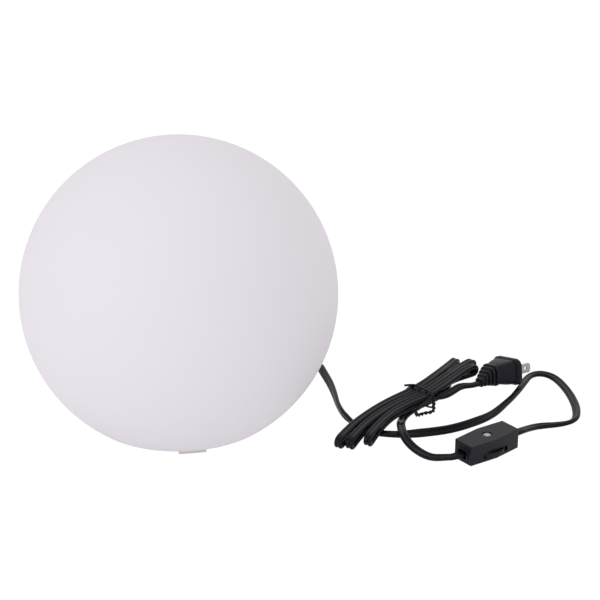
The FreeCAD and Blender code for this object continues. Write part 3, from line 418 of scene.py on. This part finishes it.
def left_half(loop, low):
    """The control points from a left tip to just before the waist, on a loop's lower or upper
    side. s goes evenly from the tip's to the column's, less a half sine wave's bow."""
    tip_t, tip_s = LEFT_TIPS[loop]
    if low:
        heights = (*LEFT_LOW, WAIST_LOW[loop] + WAIST_RISE)
    else:
        heights = (*LEFT_TOP, WAIST_TOP[loop] + WAIST_RISE)
    points = []
    for run, z in zip((*LEFT_RUNS, LEFT_STATION - tip_t), heights):
        part_way = run / (WAIST - tip_t)
        bow = LEFT_BOW * math.sin(math.pi * part_way)
        points.append(in_hank(tip_t + run, tip_s + (COLUMNS[loop] - tip_s) * part_way - bow, z))
    return points


def right_half(loop, tip, low):
    """The control points from just after the waist, in a loop's column, to a right tip. s goes
    evenly from the column's to the tip's, plus a half sine wave's bow, and near the tip it
    follows a straight line that both sides of the fold share, so that the flat cord folds flat."""
    tip_t, tip_s, tip_z = RIGHT_TIPS[tip]
    if low:
        heights = (RIGHT_LOW, tip_z + TIP_RISE, tip_z)
    else:
        heights = (RIGHT_TOP, tip_z + FOLD - TIP_DROP, tip_z + FOLD)
    points = []
    for run, z in zip((tip_t - RIGHT_STATION, TIP_RUNS[tip], 0), heights):
        part_way = run / (tip_t - WAIST)
        s = tip_s + (COLUMNS[loop] - tip_s) * part_way + RIGHT_BOWS[tip] * math.sin(math.pi * part_way)
        if run <= TIP_RUNS[tip]:
            s = tip_s - TIP_SLOPES[tip] * run
        points.append(in_hank(tip_t - run, s, z))
    return points


tail = [(at_switch(-22.0), 0), (at_switch(-34.0), -5), ((209.0, -83.0, 4.6), -8),
        ((199.5, -81.6, 3.6), -12), ((192.5, -74.8, 3.2), -16), ((186.2, -64.8, 3.2), -18),
        ((181.2, -57.0, 5.4), -14), ((178.0, -47.5, 7.8), -6), ((177.5, -31.0, 6.9), -4),
        (in_hank(93.5, 153.2, 3.2), -3), (in_hank(103.5, 148.8, 2.4), -2), (in_hank(112, 147.2, 2.3), 0)]
hank_control = [in_hank(124, 147.4, 3.4), in_hank(WAIST, 150.8, WAIST_IN), in_hank(160, 151.0, 3.3),
                in_hank(180, 142.0, 2.3), in_hank(201, 130.9, 2.4), in_hank(210.5, 129.5, 2.8)]
for loop in range(LOOPS):
    hank_control += right_half(loop, loop, False)[::-1]
    hank_control += [in_hank(WAIST, COLUMNS[loop], WAIST_TOP[loop])]
    hank_control += left_half(loop, False)[::-1] + left_half(loop, True)
    hank_control += [in_hank(WAIST, COLUMNS[loop], WAIST_LOW[loop])]
    if loop + 1 < LOOPS:
        hank_control += right_half(loop, loop + 1, True)
hank_control += [in_hank(148, 158.2, 7.1), in_hank(156, 161.2, 8.9), in_hank(166, 163.0, 11.0),
                 at_plug(LEAD_IN, LEAD_IN_DROOP), at_plug(PLUG_END, plug_droop(PLUG_END))]
second_control = [point for point, _ in tail] + hank_control
second_count = len(second_control)
second_path = spline_points("second_line", second_control)
# the number of the control point, with its fraction, that each path point has come to
reached = along_route(second_control, second_path, list(range(second_count)))
second_lean = np.interp(reached, range(second_count), [lean for _, lean in tail] + [0] * len(hank_control))
# in the folds the wide direction stays one way, and at the waist the strands lean together,
# so that the tie draws them close; in the plug it is the plug's own
folded = -np.array(in_hank(0, 1, 0))
from_waist = second_path @ np.array(in_hank(1, 0, 0)) - WAIST
waist_lean = np.radians(WAIST_LEAN * np.exp(-(from_waist / WAIST_SPREAD) ** 2))[:, None]
stacked = folded * np.cos(waist_lean) + UP * np.sin(waist_lean)
in_folds = np.clip(reached - (len(tail) - 2), 0, 1)[:, None]
in_plug = np.clip(reached - (second_count - 3), 0, 1)[:, None]
wide = leaned(second_path, second_lean, folded) * (1 - in_folds) + stacked * in_folds
wide = wide * (1 - in_plug) + PLUG_TURN[:, 1] * in_plug
cord_second = swept("cord_second_twin", second_path, wide, twin_outline(), CORD, "base")
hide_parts("cord_tail", "cord_hank")

# ------------------------------------------------------------------ globe
# the arcs stop a hair short of the Z axis, where the lathe joins the outside to the inside
GLOBE_R, WALL, CENTRE_Z, FLOOR_Z, RIM_ROUND = 127.0, 2.4, 107.78, 5.0, 6.0
GLOBE_NECK_R, RECESS_R, RECESS_Z, CHAMFER = 56.6, 70.2, 8.0, 0.3
TOP_ANGLE, GLOBE_TURNS = 89.99, 192
rim_rise = CENTRE_Z - FLOOR_Z - RIM_ROUND
rim_reach = math.sqrt((GLOBE_R - RIM_ROUND) ** 2 - rim_rise ** 2)
rim_meets = math.degrees(math.atan2(-rim_rise, rim_reach))
inside_low = math.degrees(math.asin((RECESS_Z + WALL - CENTRE_Z) / (GLOBE_R - WALL)))
globe = lathe("globe_ball", np.vstack([
    [[GLOBE_NECK_R, RECESS_Z], [RECESS_R, RECESS_Z], [RECESS_R, FLOOR_Z + CHAMFER],
     [RECESS_R + CHAMFER, FLOOR_Z]],
    arc((rim_reach, FLOOR_Z + RIM_ROUND), RIM_ROUND, -90, rim_meets, 10),
    arc((0, CENTRE_Z), GLOBE_R, rim_meets, TOP_ANGLE, 120)[1:],
    arc((0, CENTRE_Z), GLOBE_R - WALL, TOP_ANGLE, inside_low, 100),
    [[GLOBE_NECK_R, RECESS_Z + WALL]]]), GLOBE, "globe", turns=GLOBE_TURNS)
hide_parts("globe_shell")

# ------------------------------------------------------------------ lampholder and bulb
# profiles of discs start and end at AXIS_R, a hair off the Z axis
AXIS_R, THREAD_PITCH = 0.01, 3.63
HOLDER_FLOOR, HOLDER_TOP, HOLDER_R, HOLDER_BORE = 37.0, 57.0, 14.25, 13.95
HOLDER_THREAD, HOLDER_THREAD_DEPTH = (HOLDER_FLOOR + 1.0, HOLDER_TOP - 0.5), 0.25
TIP_LOW, GLASS_LOW, CAP_LOW, CAP_HIGH = 40.5, 42.1, 45.1, 67.1
CAP_R, CAP_TAPER_R, CAP_TAPER_TOP = 13.2, 10.8, 48.1
CAP_THREAD, CAP_THREAD_DEPTH, CAP_THREAD_OUTSIDE = (46.8, 65.0), 0.95, 5.0
THREAD_STEP, CAP_STEP = 0.4, 0.35
BULB_NECK_Z, RIM_Z, RIM_LEDGE_Z, RIM_LEDGE_R = 70.3, 101.1, 99.5, 25.4
FLARE_R, FLARE_LOW_R, FLARE_HIGH_R = 60.0, 14.4, 27.0
GROOVE_Z, GROOVE_HALF, GROOVE_DEPTH, GROOVE_OUTSIDE = 72.2, 0.35, 0.35, 14
DOME_R, DOME_WALL, DOME_TOP_ANGLE = 30.0, 1.2, 89.97

shell = lathe("holder_thread", np.vstack([
    line((HOLDER_R, HOLDER_FLOOR), (HOLDER_R, HOLDER_TOP), THREAD_STEP), [[HOLDER_R, HOLDER_TOP]],
    line((HOLDER_BORE, HOLDER_TOP), (HOLDER_BORE, HOLDER_FLOOR), THREAD_STEP),
    [[HOLDER_BORE, HOLDER_FLOOR]]]),
    BRASS, "base", carve=thread(*HOLDER_THREAD, THREAD_PITCH, HOLDER_THREAD_DEPTH, 0.0))
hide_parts("lampholder_shell")

cap = lathe("bulb_screw_cap", np.vstack([
    [[AXIS_R, CAP_LOW]], line((CAP_TAPER_R, CAP_LOW), (CAP_R, CAP_TAPER_TOP), THREAD_STEP),
    line((CAP_R, CAP_TAPER_TOP), (CAP_R, CAP_HIGH), CAP_STEP), [[CAP_R, CAP_HIGH], [AXIS_R, CAP_HIGH]]]),
    CAP, "bulb", carve=thread(*CAP_THREAD, THREAD_PITCH, CAP_THREAD_DEPTH, CAP_THREAD_OUTSIDE))
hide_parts("bulb_cap")

glass = lathe("bulb_insulator_glass", [
    [AXIS_R, GLASS_LOW], [5.6, GLASS_LOW], [6.4, 42.25], [9.6, 44.4], [10.5, CAP_LOW],
    [AXIS_R, CAP_LOW]], INSULATOR, "bulb")
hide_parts("bulb_insulator")

tip = lathe("bulb_tip_solder", [
    [AXIS_R, TIP_LOW], [2.0, 40.55], [3.6, 40.8], [4.5, 41.3], [4.8, GLASS_LOW],
    [AXIS_R, GLASS_LOW]], ZINC, "bulb")
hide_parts("bulb_tip")

# the bulb's body flares in one arc of FLARE_R from its neck to its rim
flare_low, flare_high = np.array([FLARE_LOW_R, BULB_NECK_Z]), np.array([FLARE_HIGH_R, RIM_Z])
chord = flare_high - flare_low
flare_left = np.array([-chord[1], chord[0]]) / np.linalg.norm(chord)
flare_centre = (flare_low + flare_high) / 2 + flare_left * math.sqrt(FLARE_R ** 2 - chord @ chord / 4)
flare_angles = [math.degrees(math.atan2(*(p - flare_centre)[::-1])) for p in (flare_low, flare_high)]


def groove(r, z, angle):
    """The dip round the bulb's neck: a bell curve over the height."""
    return -GROOVE_DEPTH * np.exp(-((z - GROOVE_Z) / GROOVE_HALF) ** 2) * (r > GROOVE_OUTSIDE)


housing = lathe("bulb_body", np.vstack([
    [[AXIS_R, CAP_HIGH], [FLARE_LOW_R - 0.5, CAP_HIGH], [FLARE_LOW_R, CAP_HIGH + 0.5]],
    arc(flare_centre, FLARE_R, *flare_angles, 24),
    [[RIM_LEDGE_R, RIM_Z], [RIM_LEDGE_R, RIM_LEDGE_Z], [23.0, RIM_LEDGE_Z], [12.8, BULB_NECK_Z],
     [AXIS_R, BULB_NECK_Z]]]), BULB, "bulb", carve=groove)
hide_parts("bulb_housing")

dome_z = RIM_Z + math.sqrt(DOME_R ** 2 - FLARE_HIGH_R ** 2)
dome_low, dome_low_inside = [math.degrees(math.asin((RIM_Z - dome_z) / r))
                             for r in (DOME_R, DOME_R - DOME_WALL)]
dome = lathe("bulb_opal_dome", np.vstack([
    arc((0, dome_z), DOME_R, dome_low, DOME_TOP_ANGLE, 48),
    arc((0, dome_z), DOME_R - DOME_WALL, DOME_TOP_ANGLE, dome_low_inside, 40)]), OPAL, "bulb")
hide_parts("bulb_dome")

# ------------------------------------------------------------------ plug
# stations are (x, half width, half height, corner), from the flange back to the tail, which
# has ribs that get narrower and lower one by one, on a root that shrinks with them
stations = [(0.0, 14.2, 9.8, 4.8), (-0.25, 15.0, 10.6, 5.4), (-0.9, 15.6, 11.2, 6.0),
            (-3.9, 15.6, 11.2, 6.0), (-4.6, 15.2, 10.9, 5.8), (-5.0, 14.3, 10.5, 5.4),
            (-5.15, 13.0, 10.3, 5.0), (-9.0, 12.4, 10.1, 4.9), (-13.0, 11.2, 9.6, 4.5),
            (-17.0, 9.9, 8.7, 4.0), (-19.4, 9.1, 8.1, 3.7), (-19.9, 8.7, 7.7, 3.6), (-20.0, 8.5, 7.6, 3.5),
            (-20.05, 8.9, 8.4, 4.2), (-20.3, 9.4, 8.9, 4.7), (-22.8, 9.5, 9.0, 4.8),
            (-23.2, 9.2, 8.7, 4.6), (-23.4, 8.7, 8.2, 4.3)]
RIBS, RIBS_START, RIB_PITCH = 4, -23.4, 3.2
RIB_FRONT, RIB_BACK, RIB_SOFT, RIB_EDGE = 1.2, 3.1, 0.25, 0.3
RIB_WIDE, RIB_TALL, RIB_NARROWS, RIB_LOWERS = 19.0, 18.0, 2.4, 2.76
RIB_CORNER, CORNER_SHRINKS, ROOT_CORNER = 3.6, 0.5, 0.8
ROOT_FRONT, ROOT_BACK, ROOT_WIDE, ROOT_TALL, ROOT_SHRINKS = 0.05, 1.1, 7.1, 5.6, 0.72
for rib in range(RIBS):
    start = RIBS_START - RIB_PITCH * rib
    wide_by = (RIB_WIDE - RIB_NARROWS * (rib + 1)) / 2
    tall_by = (RIB_TALL - RIB_LOWERS * (rib + 1)) / 2
    corner = RIB_CORNER - CORNER_SHRINKS * rib
    root_shrinks = ROOT_SHRINKS * (rib + 0.3)
    root = (ROOT_WIDE - root_shrinks, ROOT_TALL - root_shrinks, corner * ROOT_CORNER)
    edge = (wide_by - RIB_EDGE, tall_by - RIB_EDGE, corner)
    full = (wide_by, tall_by, corner)
    stations += [(start - ROOT_FRONT, *root), (start - ROOT_BACK, *root),
                 (start - RIB_FRONT, *edge), (start - RIB_FRONT - RIB_SOFT, *full),
                 (start - RIB_BACK + RIB_SOFT, *full), (start - RIB_BACK, *edge)]
stations += [(-36.2, 3.9, 2.7, 2.4)]
plug = lofted("plug_moulding", stations[::-1], PLUG_TURN, PLUG_AT, plug_droop, PLUG, "base")
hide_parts("plug_body")

# the blades are the CAD's own, carried from the CAD plug's place to this plug's
CAD_TURN, CAD_AT = turned(50.0, 6.0, 4.0), np.array([272.0, 58.5, 12.525])
blades = []
for name in ("plug_blade_wide", "plug_blade_narrow"):
    plate = nodes[name].data
    points = np.array([v.co[:] for v in plate.vertices]) * MM_PER_METRE
    points = (points - CAD_AT) @ CAD_TURN @ PLUG_TURN.T + PLUG_AT
    faces = [list(p.vertices) for p in plate.polygons]
    blades.append(make_piece(name + "_plate", points, faces, BLADE, "base"))
    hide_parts(name)

# ------------------------------------------------------------------ switch ports
# a raised rim round each cord port, as rings of (distance from the switch's middle, outline)
switch_turn = turned(math.degrees(SWITCH_YAW))
PORT_OUTER, PORT_INNER = (5.9, 4.75, 1.8), (4.45, 3.3, 1.0)
port_outer, port_inner = rounded_ring(*PORT_OUTER), rounded_ring(*PORT_INNER)
port_rings = ((24.0, port_outer), (26.0, port_outer), (26.3, port_outer * 0.95),
              (26.3, port_inner * 1.06), (26.1, port_inner), (22.0, port_inner))
for side, end in ((-1, "left"), (1, "right")):
    rings = [np.column_stack([np.full(len(ring), x * side), ring[:, 0] * side, ring[:, 1]])
             for x, ring in port_rings]
    points = np.vstack(rings) @ switch_turn.T + np.array(at_switch(0.0))
    faces = sheet_faces(len(rings), len(port_outer), wrap_rows=True, wrap_columns=True)
    make_piece("switch_port_" + end, points, faces, SWITCH, "base", PORT_CREASE)

# ------------------------------------------------------------------ wire tie
# a ring round the waist, its free end, two cut ends and the twisted pair that doubles back;
# points are (t, s, z) as in in_hank
RING_POINTS = (
    (136.0, 142.0, 15.2), (135.0, 148.5, 15.0), (134.2, 155.6, 14.7), (133.8, 157.7, 11.6),
    (133.6, 157.7, 7.0), (133.6, 157.5, 3.0), (133.8, 155.2, 0.85), (134.8, 143.0, 0.85),
    (135.8, 134.5, 3.0), (136.4, 132.2, 7.0), (136.8, 132.2, 12.4), (136.8, 134.4, 15.4),
    (136.0, 142.0, 15.2))
FREE_END = ((136.6, 139.5, 15.5), (136.3, 136.2, 15.3), (135.4, 132.9, 14.6), (134.4, 128.2, 13.2))
CUT_END = ((136.9, 133.8, 14.9), (137.0, 130.0, 11.2), (136.4, 126.8, 6.8))
CUT_END_2 = ((137.6, 134.9, 15.1), (137.9, 130.9, 11.2), (137.6, 128.0, 6.8))
TWISTED = (
    (133.7, 157.4, 9.8), (133.2, 158.6, 6.0), (131.0, 160.2, 3.2), (128.6, 161.8, 2.2),
    (125.2, 161.4, 1.95), (121.5, 158.6, 1.95), (116.5, 157.0, 2.1), (111.8, 156.9, 2.8),
    (109.8, 157.1, 4.6), (110.4, 156.2, 6.6), (114.3, 155.8, 8.2), (120.2, 156.3, 9.6),
    (125.4, 156.4, 10.5), (131.5, 157.0, 10.9))
RING_WIRE, FREE_WIRE, CUT_WIRE, PAIR_WIRE = 0.78, 0.95, 0.45, 0.80
PAIR_REACH, PAIR_TWIST = 118, 45.0
reach = np.radians(np.linspace(-PAIR_REACH, PAIR_REACH, 7))
pair_half = np.stack([PAIR_WIRE + PAIR_WIRE * np.cos(reach), PAIR_WIRE * np.sin(reach)], axis=-1)
for name, places, section, twist in (
        ("ring", RING_POINTS, round_outline(RING_WIRE), 0.0),
        ("free", FREE_END, round_outline(FREE_WIRE), 0.0),
        ("end", CUT_END, round_outline(CUT_WIRE), 0.0),
        ("end_2", CUT_END_2, round_outline(CUT_WIRE), 0.0),
        ("twist", TWISTED, np.vstack([pair_half, -pair_half]), PAIR_TWIST)):
    path = spline_points("tie_%s_line" % name, [in_hank(*place) for place in places])
    swept("tie_" + name, path, leaned(path, np.zeros(len(path)), outlet_side),
                            section, TIE, "base", twist)
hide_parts("twist_tie")

# ------------------------------------------------------------------ CAD nodes that stay
WELD_METRES, FLAT_ANGLE, EDGE_ANGLE, EDGE_SEGMENTS = 0.000002, 0.8, 32.0, 3
BLADE_BEVEL = 0.12


def finish_node(node, material, bevel, flats=False):
    """Gives a carried-over solid its material and, by modifiers, soft moulded edges.
    flats joins the triangles of each flat face before its edges are softened."""
    node.data.materials.clear()
    node.data.materials.append(material)
    weld = node.modifiers.new("weld", "WELD")
    weld.merge_threshold = WELD_METRES
    if flats:
        joined = node.modifiers.new("flats", "DECIMATE")
        joined.decimate_type = "DISSOLVE"
        joined.angle_limit = math.radians(FLAT_ANGLE)
    if bevel:
        edge = node.modifiers.new("edges", "BEVEL")
        edge.width = bevel / MM_PER_METRE
        edge.segments = EDGE_SEGMENTS
        edge.limit_method = "ANGLE"
        edge.angle_limit = math.radians(EDGE_ANGLE)
    node.data.shade_smooth()
    node.data.set_sharp_from_angle(angle=math.radians(EDGE_ANGLE))
    weighted = node.modifiers.new("normals", "WEIGHTED_NORMAL")
    weighted.keep_sharp = True


for name, material, bevel in (
        ("base_cover", BASE, 0.4), ("cord_bushing", BASE, 0.4), ("lampholder_body", HOLDER, 0.5),
        ("lampholder_contact", BRASS, 0.1), ("lampholder_screws", ZINC, 0.2),
        ("terminal_screws", BRASS, 0.2), ("inner_leads", CORD, 0.0), ("bulb_board", BOARD, 0.1),
        ("switch_top", SWITCH, 0.5), ("switch_bottom", SWITCH, 0.4), ("switch_wheel", WHEEL, 0.2),
        ("switch_screw", SCREW, 0.1), ("switch_nut", ZINC, 0.1), ("switch_contacts", BRASS, 0.05),
        ("foot_1", FOOT, 0.5), ("foot_2", FOOT, 0.5), ("foot_3", FOOT, 0.5), ("foot_4", FOOT, 0.5)):
    finish_node(nodes[name], material, bevel, flats=name in ("switch_top", "switch_bottom"))
for blade in blades:
    finish_node(blade, BLADE, BLADE_BEVEL)

# ------------------------------------------------------------------ stage and light
FLOOR_HALF_METRES, FLOOR_TONE, FLOOR_GLOW = 40, 0.86, 1.08
# the share of glow in the floor for every ray, and what is added for the camera's
GLOW_SHARE, GLOW_MORE = 0.42, 0.52
ROOM_STRENGTH, BACKDROP_STRENGTH = 0.86, 1.2


def glowing_floor():
    """A matte white floor mixed with a glow, stronger where the camera sees it."""
    material, tree, _ = new_material("white_floor")
    tree.nodes.clear()
    add, link = tree.nodes.new, tree.links.new
    output, mix = add("ShaderNodeOutputMaterial"), add("ShaderNodeMixShader")
    glow, matte = add("ShaderNodeEmission"), add("ShaderNodeBsdfDiffuse")
    glow.inputs["Strength"].default_value = FLOOR_GLOW
    matte.inputs["Color"].default_value = (FLOOR_TONE, FLOOR_TONE, FLOOR_TONE, 1.0)
    ray, share = add("ShaderNodeLightPath"), add("ShaderNodeMath")
    share.operation = "MULTIPLY_ADD"
    share.inputs[1].default_value = GLOW_MORE
    share.inputs[2].default_value = GLOW_SHARE
    link(ray.outputs["Is Camera Ray"], share.inputs[0])
    link(share.outputs[0], mix.inputs["Fac"])
    link(matte.outputs[0], mix.inputs[1])
    link(glow.outputs[0], mix.inputs[2])
    link(mix.outputs[0], output.inputs["Surface"])
    return material


def white_world():
    """An even white room, brighter where the camera sees it."""
    world = bpy.data.worlds.new("world")
    world.use_nodes = True
    tree = world.node_tree
    tree.nodes.clear()
    add, link = tree.nodes.new, tree.links.new
    output, mix, ray = add("ShaderNodeOutputWorld"), add("ShaderNodeMixShader"), add("ShaderNodeLightPath")
    link(ray.outputs["Is Camera Ray"], mix.inputs["Fac"])
    for socket, strength in ((1, ROOM_STRENGTH), (2, BACKDROP_STRENGTH)):
        light = add("ShaderNodeBackground")
        light.inputs["Color"].default_value = (1.0, 1.0, 1.0, 1.0)
        light.inputs["Strength"].default_value = strength
        link(light.outputs[0], mix.inputs[socket])
    link(mix.outputs[0], output.inputs["Surface"])
    return world


def area_light(name, place, target, size, watts):
    """A round lamp at a place, facing a target, all in metres."""
    data = bpy.data.lights.new(name, "AREA")
    data.shape, data.size, data.energy = "DISK", size, watts
    light = bpy.data.objects.new(name, data)
    light.location = place
    light.rotation_euler = (Vector(target) - Vector(place)).to_track_quat("-Z", "Y").to_euler()
    scene.collection.objects.link(light)


floor_mesh = bpy.data.meshes.new("floor")
floor_mesh.from_pydata([(x * FLOOR_HALF_METRES, y * FLOOR_HALF_METRES, 0)
                        for x, y in ((-1, -1), (1, -1), (1, 1), (-1, 1))], [], [(0, 1, 2, 3)])
floor_mesh.materials.append(glowing_floor())
floor = bpy.data.objects.new("floor", floor_mesh)
scene.collection.objects.link(floor)

scene.world = white_world()
area_light("key", place=(-1.4, -1.8, 1.3), target=(0, 0, 0.1), size=1.6, watts=12.5)
area_light("top", place=(0.3, 0.6, 2.2), target=(0.1, 0, 0.0), size=1.4, watts=3.0)

scene.view_settings.view_transform = "Standard"
scene.view_settings.look = "None"
